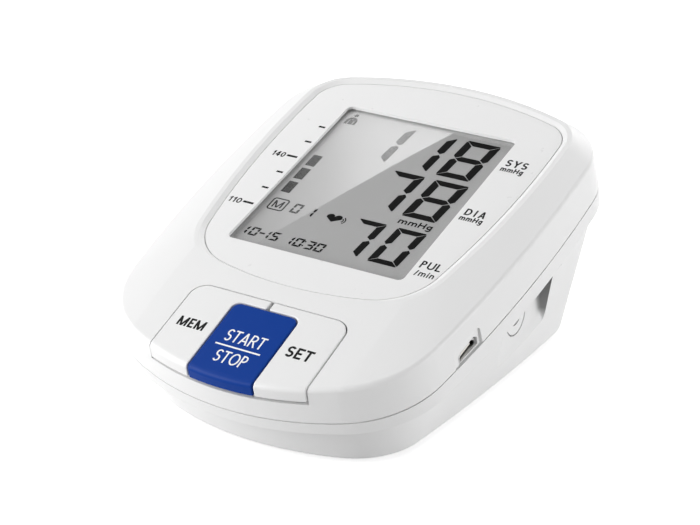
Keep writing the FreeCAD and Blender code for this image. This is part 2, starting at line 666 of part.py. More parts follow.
def board_pieces():
    top = BOARD_N + BOARD_T
    s0, s1 = BOARD_MID
    board = fuse(box(-BOARD_SIDE, BOARD_SIDE, s0, s1, BOARD_N, top),
                 box(-BOARD_NOSE, BOARD_NOSE, BOARD_FRONT, s0 + 1, BOARD_N, top),
                 box(-BOARD_TAIL, BOARD_TAIL, s1 - 1, BOARD_REAR, BOARD_N, top))
    head_r, head_h = BOARD_SCREW_HEAD
    screws = []
    for x, s in BOARD_POSTS:
        for side in (-1, 1):
            board = board.cut(rod(BOARD_SCREW_R + FIT, (side * x, s, 0), 9))
            head = rod(head_r, (side * x, s, BOARD_N - head_h), head_h)
            shank = rod(BOARD_SCREW_R, (side * x, s, BOARD_N - head_h / 2), BOARD_SCREW_L + head_h / 2)
            screws.append(head.fuse(shank))
    slope_piece("main_board", board)
    slope_piece("board_screws", Part.Compound(screws))
    # micro-USB socket: bent steel shell and plastic tongue
    x0 = USB_MOUTH_X - USB_L
    hollow = usb_profile(-USB_SKIN, x0 + USB_SKIN, USB_MOUTH_X + 1)
    slope_piece("usb_socket", usb_profile(0, x0, USB_MOUTH_X).cut(hollow))
    tongue = BOARD_N - USB_H + USB_TONGUE_LOW
    half = USB_TONGUE_W / 2
    slope_piece("usb_tongue", box(x0 + USB_SKIN, USB_MOUTH_X - 2 * USB_SKIN, USB_S - half, USB_S + half,
                                  tongue, tongue + USB_TONGUE_T))
    # on the underside of the board
    w, length, h = CHIP
    chip = box(-w / 2, w / 2, CHIP_S - length / 2, CHIP_S + length / 2, BOARD_N - h, BOARD_N)
    slope_piece("control_chip", chip)
    x, s = BUZZER_AT
    slope_piece("buzzer", ring(BUZZER_R, BUZZER_HOLE_R, (x, s, BOARD_N - BUZZER_H), BUZZER_H))
    x, s = CAPACITOR_AT
    slope_piece("storage_capacitor", rod(CAPACITOR_R, (x, s, BOARD_N - CAPACITOR_L), CAPACITOR_L))


# ---- air system --------------------------------------------------------------------------


def air_socket_pieces():
    """Socket in the wall of the recess, with an elbow behind it, and its lock ring."""
    axis = (1, 0, 0)
    inside = RECESS_X - WALL
    back = inside - SOCKET_BACK
    barb_x = back + BARB_R + 0.4
    barb_top = LOCK_RING_R + BARB_L - 1
    parts = [rod(SOCKET_RING_R, (inside - 0.2, SOCKET_Y, SOCKET_Z), WALL + 0.2, axis),
             rod(SOCKET_FLANGE_R, (inside - SOCKET_FLANGE_T, SOCKET_Y, SOCKET_Z), SOCKET_FLANGE_T, axis),
             rod(SOCKET_BODY_R, (back, SOCKET_Y, SOCKET_Z), SOCKET_BACK, axis),
             rod(BARB_R, (barb_x, SOCKET_Y, SOCKET_Z), barb_top)]
    bore = rod(SOCKET_BORE_R, (RECESS_X - SOCKET_BORE_L, SOCKET_Y, SOCKET_Z), 20, axis)
    piece("air_socket", fuse(*parts).cut(bore))
    ring_x = inside - SOCKET_FLANGE_T - LOCK_RING_T
    lock = ring(LOCK_RING_R, SOCKET_BODY_R, (ring_x, SOCKET_Y, SOCKET_Z), LOCK_RING_T, axis)
    piece("socket_lock_ring", lock)
    return barb_x


def air_pieces():
    shelf = bay_ceiling() + BAY_WALL
    x0, x1, y0, y1 = MANIFOLD
    mid_z = shelf + MANIFOLD_H / 2
    pump_x = (x0 + x1) / 2
    mid_y = (y0 + y1) / 2
    s_port, n_top = to_slope(mid_y, shelf + MANIFOLD_H)
    barb_x = air_socket_pieces()
    # manifold on the bay's roof
    body = box(x0, x1, y0, y1, shelf, shelf + MANIFOLD_H)
    barbs = [rod(BARB_R, (x1 - 1, SOCKET_Y, mid_z), BARB_L + 1, (1, 0, 0)),
             rod(BARB_R, (pump_x, y1 - 1, mid_z), BARB_L, (0, 1, 0)),
             lift(rod(SENSOR_PORT_R, (SENSOR_X, s_port, n_top - 1), MANIFOLD_PORT_L + 1))]
    piece("air_manifold", fuse(body, *barbs))
    # exhaust valve, its nose against the manifold
    vx0, vx1, vy0, vy1 = VALVE
    valve = box(vx0, vx1, vy0, vy1, shelf, shelf + VALVE_H)
    valve = fuse(valve, rod(BARB_R + 0.6, (vx1 - 1, mid_y, mid_z), x0 - vx1 + 1, (1, 0, 0)))
    piece("exhaust_valve", valve)
    # pressure sensor under the board, its port towards the manifold
    low = BOARD_N - SENSOR_H
    half = SENSOR_SIZE / 2
    sensor = box(SENSOR_X - half, SENSOR_X + half, s_port - half, s_port + half, low, BOARD_N)
    sensor = fuse(sensor, rod(SENSOR_PORT_R, (SENSOR_X, s_port, low - SENSOR_PORT_L), SENSOR_PORT_L + 1))
    slope_piece("pressure_sensor", sensor)
    foot = (SENSOR_X, s_port, n_top + 2 * TUBE_END)
    tube = ring(SENSOR_TUBE_R, SENSOR_PORT_R + 0.05, foot, low - n_top - 4 * TUBE_END)
    slope_piece("sensor_tube", tube)
    # pump: motor can and diaphragm head
    axis = (1, 0, 0)
    tail_r, tail_l = MOTOR_TAIL
    motor = rod(MOTOR_R, (MOTOR_X[0], PUMP_Y, PUMP_Z), MOTOR_X[1] - MOTOR_X[0], axis)
    piece("pump_motor", fuse(motor, rod(tail_r, (MOTOR_X[0] - tail_l, PUMP_Y, PUMP_Z), tail_l + 1, axis)))
    half = HEAD_SIZE / 2
    head = box(HEAD_X[0], HEAD_X[1], PUMP_Y - half, PUMP_Y + half, PUMP_Z - half, PUMP_Z + half)
    head = head.makeFillet(HEAD_ROUND, [e for e in head.Edges if e.BoundBox.XLength > 5])
    head = fuse(head, rod(BARB_R, (pump_x, PUMP_Y - half - HEAD_NOSE, mid_z), HEAD_NOSE + 2, (0, 1, 0)))
    piece("pump_head", head)
    # tubes: pump to manifold, manifold to socket
    bore = BARB_R + 0.05
    reach = PUMP_Y - half - y1 - 2 * TUBE_END
    piece("pump_tube", ring(TUBE_R, bore, (pump_x, y1 + TUBE_END, mid_z), reach, (0, 1, 0)))
    start = SOCKET_Z + LOCK_RING_R + TUBE_END
    rise = start + 2 * TUBE_BEND + TUBE_RISE
    turn_x = x1 + BARB_L + TUBE_BEND + TUBE_END
    run = [(x1 + TUBE_END, mid_z), (turn_x, mid_z), (turn_x, rise), (barb_x, rise), (barb_x, start)]
    piece("socket_tube", hose([(x, SOCKET_Y, z) for x, z in run], TUBE_BEND, TUBE_R, bore))
    # foam pad between the pump and the floor
    piece("pump_pad", box(HEAD_X[0] + PAD_IN, HEAD_X[1] - PAD_IN, PUMP_Y - PAD_HALF, PUMP_Y + PAD_HALF,
                          BASE_Z + WALL, PUMP_Z - half))


# ---- power -------------------------------------------------------------------------------


def cell_xs():
    pitch = CELL_D + CELL_GAP
    return [(i - (CELL_COUNT - 1) / 2) * pitch for i in range(CELL_COUNT)]


def cell_z():
    return BASE_Z + DOOR_T + CELL_GAP + CELL_D / 2


def spring(at, r, turns, pitch, side, way):
    """Flat-wire coil along Y."""
    helix = Part.makeHelix(pitch, pitch * turns, r)
    half = side / 2
    corners = [V(r + a * half, 0, b * half) for a, b in ((-1, -1), (1, -1), (1, 1), (-1, 1), (-1, -1))]
    coil = Part.Wire(helix.Edges).makePipeShell([Part.makePolygon(corners)], True, True)
    coil.rotate(V(0, 0, 0), V(1, 0, 0), -90 * way)
    coil.translate(V(*at))
    return coil


def battery_pieces():
    z = cell_z()
    front = BAY_FRONT
    rear = BAY_FRONT + CELL_L + BAY_SPARE
    span = rear - front - 2 * CONTACT_T - CELL_L
    half = CONTACT_SIZE / 2
    cells = []
    plates = []
    springs = []
    for i, x in enumerate(cell_xs()):
        # the flat end meets the spring, the nub the far plate
        if i % 2 == 0:
            y0 = rear - CONTACT_T - CELL_L
            can = rod(CELL_D / 2, (x, y0, z), CELL_L - NUB_L, (0, 1, 0))
            tip = rod(NUB_R, (x, y0 + CELL_L - 1.5 * NUB_L, z), 1.5 * NUB_L, (0, 1, 0))
            at, way = front + CONTACT_T, 1
        else:
            y0 = front + CONTACT_T
            can = rod(CELL_D / 2, (x, y0 + NUB_L, z), CELL_L - NUB_L, (0, 1, 0))
            tip = rod(NUB_R, (x, y0, z), 1.5 * NUB_L, (0, 1, 0))
            at, way = rear - CONTACT_T, -1
        cells.append(can.fuse(tip))
        pitch = (span - SPRING_WIRE) / SPRING_TURNS
        seat = (x, at + way * SPRING_WIRE / 2, z)
        springs.append(spring(seat, SPRING_R, SPRING_TURNS, pitch, SPRING_WIRE, way))
        for y in (front, rear - CONTACT_T):
            plates.append(box(x - half, x + half, y, y + CONTACT_T, z - half, z + half))
    piece("battery_cells", Part.Compound(cells))
    piece("contact_springs", Part.Compound(springs))
    piece("contact_plates", Part.Compound(plates))


def door_edges():
    """(half width, front, rear) of the battery door."""
    w = CELL_COUNT * CELL_D / 2 + (CELL_COUNT + 1) * CELL_GAP / 2 + DOOR_LEDGE - DOOR_GAP
    return w, BAY_FRONT - DOOR_LEDGE + DOOR_GAP, BAY_FRONT + CELL_L + BAY_SPARE + DOOR_LEDGE - DOOR_GAP


def tab_slot():
    front = door_edges()[1]
    low = BASE_Z + DOOR_T - TAB_T - DOOR_GAP
    high = BASE_Z + DOOR_T + TAB_ROOM
    return box(TAB_X - TAB_W / 2 - DOOR_GAP, TAB_X + TAB_W / 2 + DOOR_GAP, front - TAB_L - DOOR_GAP,
               BAY_FRONT + 0.5, low, high)


def battery_door():
    w, front, rear = door_edges()
    top = BASE_Z + DOOR_T
    door = box(-w, w, front, rear, BASE_Z, top)
    tab = box(TAB_X - TAB_W / 2, TAB_X + TAB_W / 2, front - TAB_L, front + 1, top - TAB_T, top)
    door = fuse(door, *both_sides(tab))
    # spring tongue of the latch, cut free on three sides, with grip grooves
    half = TONGUE_W / 2
    for x in (-half, half):
        slit = box(x - TONGUE_SLIT / 2, x + TONGUE_SLIT / 2, rear - TONGUE_L, rear + 1, BASE_Z - 1, top + 1)
        door = door.cut(slit)
    for i in range(3):
        y = rear - (i + 1) * GRIP_PITCH
        door = door.cut(box(1 - half, half - 1, y - GRIP_W, y, BASE_Z - 1, BASE_Z + GRIP_DEPTH))
    piece("battery_door", door)


# ---- fixings and feet --------------------------------------------------------------------


def fixings():
    long, slim, deep = SCREW_CROSS[0] / 2, SCREW_CROSS[1] / 2, SCREW_CROSS[2]
    screws = []
    for x, y in CASE_SCREWS:
        seat = parting_z(y) - SCREW_SEAT
        head = rod(SCREW_HEAD_R, (x, y, seat - SCREW_HEAD_H), SCREW_HEAD_H)
        low = seat - SCREW_HEAD_H
        head = head.cut(box(x - long, x + long, y - slim, y + slim, low - 1, low + deep))
        head = head.cut(box(x - slim, x + slim, y - long, y + long, low - 1, low + deep))
        shank = rod(SCREW_SHANK_R, (x, y, seat - 0.3), SCREW_L + 0.3)
        screws += both_sides(fuse(head, shank))
    piece("case_screws", Part.Compound(screws))
    feet = []
    for x, y in FEET:
        foot = rod(FOOT_R, (x, y, 0), BASE_Z + FOOT_SINK)
        rim = [e for e in foot.Edges if e.BoundBox.ZMax < 0.01]
        feet += both_sides(foot.makeChamfer(0.3, rim))
    piece("rubber_feet", Part.Compound(feet))


def build():
    piece("upper_housing", upper_housing())
    piece("lower_housing", lower_housing())
    display_stack()
    keys_and_switches()
    board_pieces()
    air_pieces()
    battery_pieces()
    battery_door()
    fixings()
    os.makedirs("parts", exist_ok=True)
    for name, shape in PIECES.items():
        shape.exportStep(os.path.join("parts", name + ".step"))
        b = shape.BoundBox
        size = "%.2f x %.2f x %.2f" % (b.XLength, b.YLength, b.ZLength)
        print("%-20s solids %d valid %s vol %9.1f  %s" % (
            name, len(shape.Solids), shape.isValid(), shape.Volume, size))


build()
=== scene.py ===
"""Looks of a desk-top blood pressure monitor: mouldings, keys, printed words, display, floor and light.

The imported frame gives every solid, and the tilt and levels of the display are read from it. Only print and
the display's figures are drawn here. Lengths are millimetres unless a name says otherwise; MM turns them into
Blender's metres. What follows the slope of the display is placed in slope axes (x, s, n): s climbs the slope
and n is square to it.
"""

import json
import math

import bmesh
import bpy
from mathutils import Matrix, Vector


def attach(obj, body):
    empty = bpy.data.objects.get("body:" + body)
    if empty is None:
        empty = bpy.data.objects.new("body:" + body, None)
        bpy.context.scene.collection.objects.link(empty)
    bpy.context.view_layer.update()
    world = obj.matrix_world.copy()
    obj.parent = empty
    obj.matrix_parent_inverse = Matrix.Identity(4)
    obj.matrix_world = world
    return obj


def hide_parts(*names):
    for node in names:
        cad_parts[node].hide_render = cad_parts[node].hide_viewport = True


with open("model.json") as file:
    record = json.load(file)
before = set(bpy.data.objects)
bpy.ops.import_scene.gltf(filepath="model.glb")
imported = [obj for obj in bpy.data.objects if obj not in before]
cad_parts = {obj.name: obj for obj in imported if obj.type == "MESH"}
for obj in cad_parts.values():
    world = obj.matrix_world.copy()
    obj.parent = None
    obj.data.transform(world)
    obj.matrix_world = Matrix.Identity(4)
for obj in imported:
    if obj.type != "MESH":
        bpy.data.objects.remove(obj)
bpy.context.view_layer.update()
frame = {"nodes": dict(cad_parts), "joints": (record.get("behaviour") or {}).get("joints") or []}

MM = 0.001

# ---- places ------------------------------------------------------------------------------


def reach(node, way):
    """How far a solid goes along a direction, at least and at most, in metres."""
    along = [vertex.co.dot(way) for vertex in frame["nodes"][node].data.vertices]
    return min(along), max(along)


def face_level(node):
    """Level of a solid's outer face above the plane in which the case parts."""
    return (reach(node, N_AXIS)[1] - PARTING) / MM


KEY_PRESS = [joint["axis"] for joint in frame["joints"] if joint["name"] == "set_press"][0]
CASE_TILT = math.atan2(KEY_PRESS[1], -KEY_PRESS[2])      # the keys move square to the slope
X_AXIS = Vector((1.0, 0.0, 0.0))
S_AXIS = Vector((0.0, math.cos(CASE_TILT), math.sin(CASE_TILT)))
N_AXIS = Vector((0.0, -math.sin(CASE_TILT), math.cos(CASE_TILT)))
PARTING = reach("lower_housing", N_AXIS)[1]
SLOPE_ORIGIN = S_AXIS * sum(reach("display_window", S_AXIS)) / 2 + N_AXIS * PARTING
PANEL_N = face_level("display_panel")
PANE_N = face_level("display_window")
LCD_N = face_level("lcd_glass")
INLET_MOUTH_X = reach("usb_socket", X_AXIS)[1] / MM
RECESS_X = reach("air_socket", X_AXIS)[1] / MM      # wall that carries the air port, flush with its mouth

DISPLAY_LEFT = -24.5      # edge of the panel's opening
DECK_S = -41.3            # the front deck leaves the panel's level here
DECK_FALL = 0.1           # and falls away from it by a tenth
KEY_PROUD = 0.2           # the keys' tops stand above the deck
RECESS_REAR = 7.4         # rear end of the air port's recess along the slope
RECESS_TOP = -4.85        # its upper end, under the flange


def slope_place(x, s, n):
    """Matrix that puts a flat drawing at a point of the slope."""
    turn = Matrix.Rotation(CASE_TILT, 4, "X")
    return Matrix.Translation(SLOPE_ORIGIN) @ turn @ Matrix.Translation(Vector((x, s, n)) * MM)


def deck_place(x, s):
    """The same on the top of the keys, which follow the front deck."""
    rise = PANEL_N + KEY_PROUD + DECK_FALL * (s - DECK_S)
    return slope_place(x, s, rise) @ Matrix.Rotation(math.atan(DECK_FALL), 4, "X")


# ---- shader graphs -----------------------------------------------------------------------

BACKGROUND_RAYS = ("Is Camera Ray", "Is Glossy Ray", "Is Transmission Ray")


class Wire:
    """A socket of a graph. Sums, products and comparisons of wires become Math nodes."""

    def __init__(self, graph, socket):
        self.graph = graph
        self.socket = socket

    def math(self, operation, first, second):
        return self.graph.math(operation, first, second)

    def __add__(self, other):
        return self.math("ADD", self, other)

    def __radd__(self, other):
        return self.math("ADD", other, self)

    def __sub__(self, other):
        return self.math("SUBTRACT", self, other)

    def __rsub__(self, other):
        return self.math("SUBTRACT", other, self)

    def __mul__(self, other):
        return self.math("MULTIPLY", self, other)

    def __rmul__(self, other):
        return self.math("MULTIPLY", other, self)

    def __truediv__(self, other):
        return self.math("DIVIDE", self, other)

    def __rtruediv__(self, other):
        return self.math("DIVIDE", other, self)

    def __gt__(self, other):
        return self.math("GREATER_THAN", self, other)

    def __lt__(self, other):
        return self.math("LESS_THAN", self, other)


class Graph:
    """A material, or a world where kind is worlds, whose nodes are added one call at a time."""

    def __init__(self, name, kind="materials"):
        self.made = getattr(bpy.data, kind).new(name)
        self.made.use_nodes = True
        self.nodes = self.made.node_tree.nodes
        self.links = self.made.node_tree.links
        self.nodes.clear()

    def node(self, kind, settings=None, values=None, out=0):
        """Adds a node, with its settings and then its sockets' values or wires, and returns an output."""
        node = self.nodes.new("ShaderNode" + kind)
        for key, value in (settings or {}).items():
            if key == "stops":
                set_stops(node.color_ramp, value)
            else:
                setattr(node, key, value)
        for key, value in (values or {}).items():
            if isinstance(value, Wire):
                self.links.new(value.socket, node.inputs[key])
            else:
                node.inputs[key].default_value = value
        return Wire(self, node.outputs[out]) if node.outputs else None

    def math(self, operation, first, second, clamp=False):
        return self.node("Math", {"operation": operation, "use_clamp": clamp}, {0: first, 1: second})

    def here(self):
        return self.node("TexCoord", out="Object")

    def axis(self, vector, letter):
        return self.node("SeparateXYZ", {}, {0: vector}, out=letter)

    def along(self, letter):
        """Place along one of the world's axes, in millimetres."""
        return self.axis(self.here(), letter) / MM

    def slope(self):
        """Place in slope axes, in millimetres."""
        turn = Matrix.Rotation(-CASE_TILT, 3, "X")
        return self.node("Mapping", {}, {
            "Vector": self.here(),
            "Location": turn @ SLOPE_ORIGIN / -MM,
            "Rotation": (-CASE_TILT, 0.0, 0.0),
            "Scale": (1.0 / MM, 1.0 / MM, 1.0 / MM),
        })

    def climb(self, value, start, span):
        """Nought up to start, one from start + span, and an even climb between them."""
        return self.math("DIVIDE", value - start, span, clamp=True)

    def background(self):
        """One where a ray shows the background: to the eye, in a mirror or through glass."""
        eye, mirror, glass = [self.node("LightPath", out=kind) for kind in BACKGROUND_RAYS]
        return self.math("MAXIMUM", self.math("MAXIMUM", eye, mirror), glass)

    def noise(self, scale, detail=2.0, rough=0.5, where=None):
        values = {"Vector": where or self.here(), "Scale": scale, "Detail": detail, "Roughness": rough}
        return self.node("TexNoise", {}, values)

    def blend(self, share, first, second):
        """One colour turning into another."""
        return self.node("Mix", {"data_type": "RGBA"}, {0: share, 6: first, 7: second}, out=2)

    def relief(self, height, depth, strength=1.0):
        """Normal of a surface whose height varies by up to depth, in millimetres."""
        return self.node("Bump", {}, {"Height": height, "Distance": depth * MM, "Strength": strength})

    def surface(self, values):
        shader = self.node("BsdfPrincipled", {}, values)
        return self.ends(shader)

    def ends(self, shader, output="OutputMaterial"):
        self.node(output, {}, {"Surface": shader})
        return self.made


def set_stops(ramp, stops):
    while len(ramp.elements) < len(stops):
        ramp.elements.new(1.0)
    for element, (place, colour) in zip(ramp.elements, stops):
        element.position = place
        element.color = colour


def grey(value):
    return (value, value, value, 1.0)


def toned(colour, factor, lift=0.0):
    """A colour made darker or lighter."""
    return tuple(min(1.0, c * factor + lift) for c in colour[:3]) + (1.0,)


def moulded(name, colour, roughness, cloud=0.02, grain=0.006, gloss=0.5):
    """Moulded plastic: a faint cloudiness, a spark-eroded skin and an uneven sheen."""
    g = Graph(name)
    cloudy = g.noise(35.0, 3.0)
    skin = g.noise(5200.0, 1.0)
    flow = g.noise(160.0)
    return g.surface({
        "Base Color": g.blend(cloudy, toned(colour, 1.0 - cloud), colour),
        "Roughness": roughness - 0.03 + flow * 0.06,
        "Specular IOR Level": gloss,
        "Normal": g.relief(skin, grain, 0.6),
    })


def printed_sheet():
    """Face of the display panel: smooth, a little glossier than the case."""
    g = Graph("panel_sheet")
    cloudy = g.noise(24.0)
    ripple = g.noise(420.0)
    return g.surface({
        "Base Color": g.blend(cloudy, grey(0.868), grey(0.882)),
        "Roughness": 0.26 + ripple * 0.05,
        "Normal": g.relief(ripple, 0.004, 0.5),
    })


def clear_pane():
    """Clear acrylic that lets light through to the display."""
    g = Graph("clear_acrylic")
    wave = g.noise(90.0, 1.0)
    pane = g.node("BsdfPrincipled", {}, {
        "Base Color": grey(1.0),
        "Roughness": 0.0,
        "IOR": 1.49,
        "Transmission Weight": 1.0,
        "Normal": g.relief(wave, 0.001, 0.3),
    })
    lighting = g.node("LightPath", out="Is Shadow Ray") + g.node("LightPath", out="Is Diffuse Ray")
    gone = g.node("BsdfTransparent")
    return g.ends(g.node("MixShader", {}, {0: lighting, 1: pane, 2: gone}))


LCD_PAINTED_LIGHT = 1.9          # width of the painted light along the display's left edge, which offsets the shadow of the panel's edge


def lcd_ground():
    """Grey face of the liquid crystal cell, with painted light on the left that offsets the shadow the
    panel's edge casts there.
    """
    g = Graph("lcd_ground")
    speckle = g.noise(3800.0)
    tone = g.blend(g.noise(30.0, 1.0), grey(0.425), grey(0.44))
    # painted light: the base colour turns lighter along the left edge, where the panel's edge casts a shadow
    painted_light = (DISPLAY_LEFT + LCD_PAINTED_LIGHT - g.along("X")) / LCD_PAINTED_LIGHT
    return g.surface({
        "Base Color": g.blend(painted_light, g.blend(speckle, tone, grey(0.43)), grey(0.56)),
        "Roughness": 0.42 + speckle * 0.05,
        "Specular IOR Level": 0.3,
    })


def ink(name, colour, roughness=0.45):
    """Printed ink, a little uneven where the screen left it thin."""
    g = Graph(name)
    patch = g.noise(900.0)
    return g.surface({
        "Base Color": g.blend(patch, colour, toned(colour, 1.12, 0.004)),
        "Roughness": roughness + patch * 0.08,
        "Specular IOR Level": 0.12,
    })


def lcd_segment(name, colour):
    """Dark crystal: even in tone, with soft dots of its own thickness."""
    g = Graph(name)
    dots = g.noise(2600.0, 1.0)
    return g.surface({
        "Base Color": g.blend(dots, colour, toned(colour, 1.25)),
        "Roughness": 0.6,
        "Specular IOR Level": 0.0,
    })


def metal(name, colour, roughness, lines=0.0):
    """Plated or drawn metal with fine level lines. A value for lines makes them deeper, in millimetres."""
    g = Graph(name)
    where = g.node("Mapping", {}, {"Vector": g.here(), "Scale": (1.0, 1.0, 14.0)})
    drawn = g.noise(700.0, 3.0, 0.6, where)
    stain = g.noise(120.0)
    return g.surface({
        "Base Color": g.blend(stain, toned(colour, 0.82), colour),
        "Metallic": 1.0,
        "Roughness": roughness + drawn * 0.12,
        "Normal": g.relief(drawn, 0.004 + lines, 0.5),
    })


INLET_SHADE_DEPTH = 0.7          # depth at which the painted shade inside the inlet is full


def inlet_steel():
    """Plated steel of the inlet's shell, with painted shade that turns it dark behind its mouth."""
    g = Graph("inlet_steel")
    depth = INLET_MOUTH_X - g.along("X")
    return g.surface({
        # painted shade: the base colour darkens with depth into the inlet
        "Base Color": g.blend(depth / INLET_SHADE_DEPTH, grey(0.66), grey(0.02)),
        "Metallic": 1.0,
        "Roughness": g.noise(300.0) * 0.1 + 0.24,
    })


SHADE_LOW = -22.8         # the recess is shaded above this level
SHADE_FADE = 2.5          # width over which the shade sets in
SHADE_DEPTH = 0.4         # how far it goes into the wall of the air port
SEAM = 0.05               # margin that takes in the faces at an edge


def bottom_moulding():
    """White of the lower housing. The rear end of the air port's recess is dark, in the place of shade."""
    g = Graph("bottom_moulding")
    place = g.slope()
    x, s, n = [g.axis(place, letter) for letter in "XYZ"]
    rear = g.climb(s, RECESS_REAR - SHADE_FADE, SHADE_FADE)
    above = g.climb(n, SHADE_LOW, SHADE_FADE)
    inside = (x > RECESS_X - SHADE_DEPTH) * (s < RECESS_REAR + SEAM) * (n < RECESS_TOP + SEAM)
    weaker_downwards = n * 0.02 + 1.1
    white = g.blend(g.noise(35.0, 3.0), grey(0.815), grey(0.83))
    return g.surface({
        "Base Color": g.blend(rear * rear * above * inside * weaker_downwards, white, grey(0.06)),
        "Roughness": g.noise(160.0) * 0.06 + 0.39,
        "Normal": g.relief(g.noise(5200.0, 1.0), 0.006, 0.6),
    })


def rubber(name, colour, roughness=0.7, shine=0.3):
    """Soft rubber or silicone with a fine bloom."""
    g = Graph(name)
    bloom = g.noise(260.0, 4.0, 0.6)
    pores = g.noise(3000.0)
    return g.surface({
        "Base Color": g.blend(bloom, colour, toned(colour, 1.18, 0.01)),
        "Roughness": roughness + bloom * 0.1,
        "Specular IOR Level": shine,
        "Normal": g.relief(pores, 0.02, 0.5),
    })


def circuit_board():
    """Green solder mask over copper tracks that run at right angles."""
    g = Graph("circuit_board")
    settings = {"feature": "F1", "distance": "MANHATTAN"}
    steps = g.node("TexVoronoi", settings, {"Vector": g.here(), "Scale": 420.0})
    mask = g.blend(steps > 0.42, (0.012, 0.11, 0.045, 1.0), (0.03, 0.20, 0.08, 1.0))
    cloudy = g.noise(80.0)
    return g.surface({
        "Base Color": g.blend(cloudy * 0.3, mask, (0.01, 0.08, 0.035, 1.0)),
        "Roughness": 0.28 + cloudy * 0.1,
        "Coat Weight": 0.4,
        "Normal": g.relief(steps, 0.02, 0.4),
    })


CELL_BAND = (8.0, 13.0)   # the cells' pale band, along Y


def cell_jacket():
    """Jacket of an AA cell: dark film with a pale band near one end and a scuffed print."""
    g = Graph("cell_jacket")
    along = g.along("Y")
    wear = g.noise(500.0, 3.0)
    band = (along > CELL_BAND[0]) * (along < CELL_BAND[1])
    film = g.blend(band, (0.015, 0.016, 0.02, 1.0), (0.52, 0.36, 0.10, 1.0))
    return g.surface({
        "Base Color": g.blend(wear * 0.12, film, grey(0.25)),
        "Roughness": 0.3 + wear * 0.12,
        "Coat Weight": 0.3,
    })


# ---- pieces ------------------------------------------------------------------------------


def add_object(name, data):
    """A new object of the scene, at the origin."""
    made = bpy.data.objects.new(name, data)
    bpy.context.scene.collection.objects.link(made)
    return made


def mesh_of(bm, name):
    """Turns a finished bmesh into a mesh."""
    mesh = bpy.data.meshes.new(name)
    bm.to_mesh(mesh)
    bm.free()
    return mesh


def merged_copy(node, name):
    """The mesh of a solid with its loose triangles joined and the solid's own normals kept."""
    mesh = frame["nodes"][node].data.copy()
    mesh.name = name
    count = len(mesh.loops)
    normals = [0.0] * (3 * count)
    mesh.corner_normals.foreach_get("vector", normals)
    mesh.attributes.new("true_normal", "FLOAT_VECTOR", "CORNER").data.foreach_set("vector", normals)
    bm = bmesh.new()
    bm.from_mesh(mesh)
    bmesh.ops.remove_doubles(bm, verts=bm.verts, dist=2e-6)
    bm.to_mesh(mesh)
    bm.free()
    mesh.shade_smooth()
    store = mesh.attributes["true_normal"]
    mesh.normals_split_custom_set([Vector(corner.vector) for corner in store.data])
    mesh.attributes.remove(mesh.attributes["true_normal"])
    return mesh


def dress(node, name, material, body="unit"):
    """Smooth-shaded copy of a solid that stands in for it."""
    mesh = merged_copy(node, name)
    mesh.materials.clear()
    mesh.materials.append(material)
    piece = add_object(name, mesh)
    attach(piece, body)
    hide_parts(node)


def paint(node, material):
    """Gives a flat-sided solid its finish."""
    mesh = frame["nodes"][node].data
    mesh.materials.clear()
    mesh.materials.append(material)


def settle(bm, name, material, place, body):
    """Turns a finished bmesh into a piece that sits at the origin and rides on a body."""
    bmesh.ops.transform(bm, matrix=place, verts=bm.verts)
    bmesh.ops.recalc_face_normals(bm, faces=bm.faces)
    mesh = mesh_of(bm, name)
    mesh.materials.append(material)
    piece = add_object(name, mesh)
    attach(piece, body)


INK = 0.02                # thickness of printed ink


def slab(bm, points, thick=INK):
    """A flat outline in millimetres, given thickness."""
    corners = [bm.verts.new((x * MM, y * MM, 0.0)) for x, y in points]
    face = bm.faces.new(corners)
    risen = bmesh.ops.extrude_face_region(bm, geom=[face])
    top = [v for v in risen["geom"] if isinstance(v, bmesh.types.BMVert)]
    bmesh.ops.translate(bm, vec=(0.0, 0.0, thick * MM), verts=top)


def arc(cx, cy, r, start, stop, steps):
    """Points on an arc, angles in degrees."""
    turns = [math.radians(start + (stop - start) * i / steps) for i in range(steps + 1)]
    return [(cx + r * math.cos(t), cy + r * math.sin(t)) for t in turns]


def bar(bm, x0, y0, x1, y1, thick=INK):
    slab(bm, [(x0, y0), (x1, y0), (x1, y1), (x0, y1)], thick)


# ---- lettering, drawn as plain strokes t thick -------------------------------------------


def leg(x0, y0, x1, y1, t):
    """Upright or leaning stroke with level ends."""
    half = t / 2 * math.hypot(x1 - x0, y1 - y0) / abs(y1 - y0)
    return [(x0 - half, y0), (x0 + half, y0), (x1 + half, y1), (x1 - half, y1)]


def beam(x0, x1, y, t):
    """Level stroke."""
    return [(x0, y - t / 2), (x1, y - t / 2), (x1, y + t / 2), (x0, y + t / 2)]


def bow(cx, cy, rx, ry, start, stop, t, steps=12):
    """Curved stroke along part of an ellipse."""
    turns = [math.radians(start + (stop - start) * i / steps) for i in range(steps + 1)]
    outer = [(cx + (rx + t / 2) * math.cos(a), cy + (ry + t / 2) * math.sin(a)) for a in turns]
    inner = [(cx + (rx - t / 2) * math.cos(a), cy + (ry - t / 2) * math.sin(a)) for a in reversed(turns)]
    return outer + inner


def bowl(left, right, low, high, t):
    """Round end of a D, P or R: two level strokes joined by half a ring."""
    r = (high - low - t) / 2
    turn = min(r, (right - left) * 0.6)
    cx = right - t / 2 - turn
    return [beam(left, cx, low + t / 2, t), beam(left, cx, high - t / 2, t),
            bow(cx, (low + high) / 2, turn, r, -90, 90, t)]


def hoop(left, right, low, high, t):
    """Closed ring in two halves."""
    cx, cy = (left + right) / 2, (low + high) / 2
    rx, ry = (right - left - t) / 2, (high - low - t) / 2
    return [bow(cx, cy, rx, ry, -90, 90, t), bow(cx, cy, rx, ry, 90, 270, t)]


def arch(xa, xb, top, t):
    """The shoulder of an n from one leg to the next."""
    rx = (xb - xa) / 2
    ry = 0.32 * top
    cy = top - t / 2 - ry
    return [bow((xa + xb) / 2, cy, rx, ry, 0, 180, t), leg(xb, 0, xb, cy, t)]


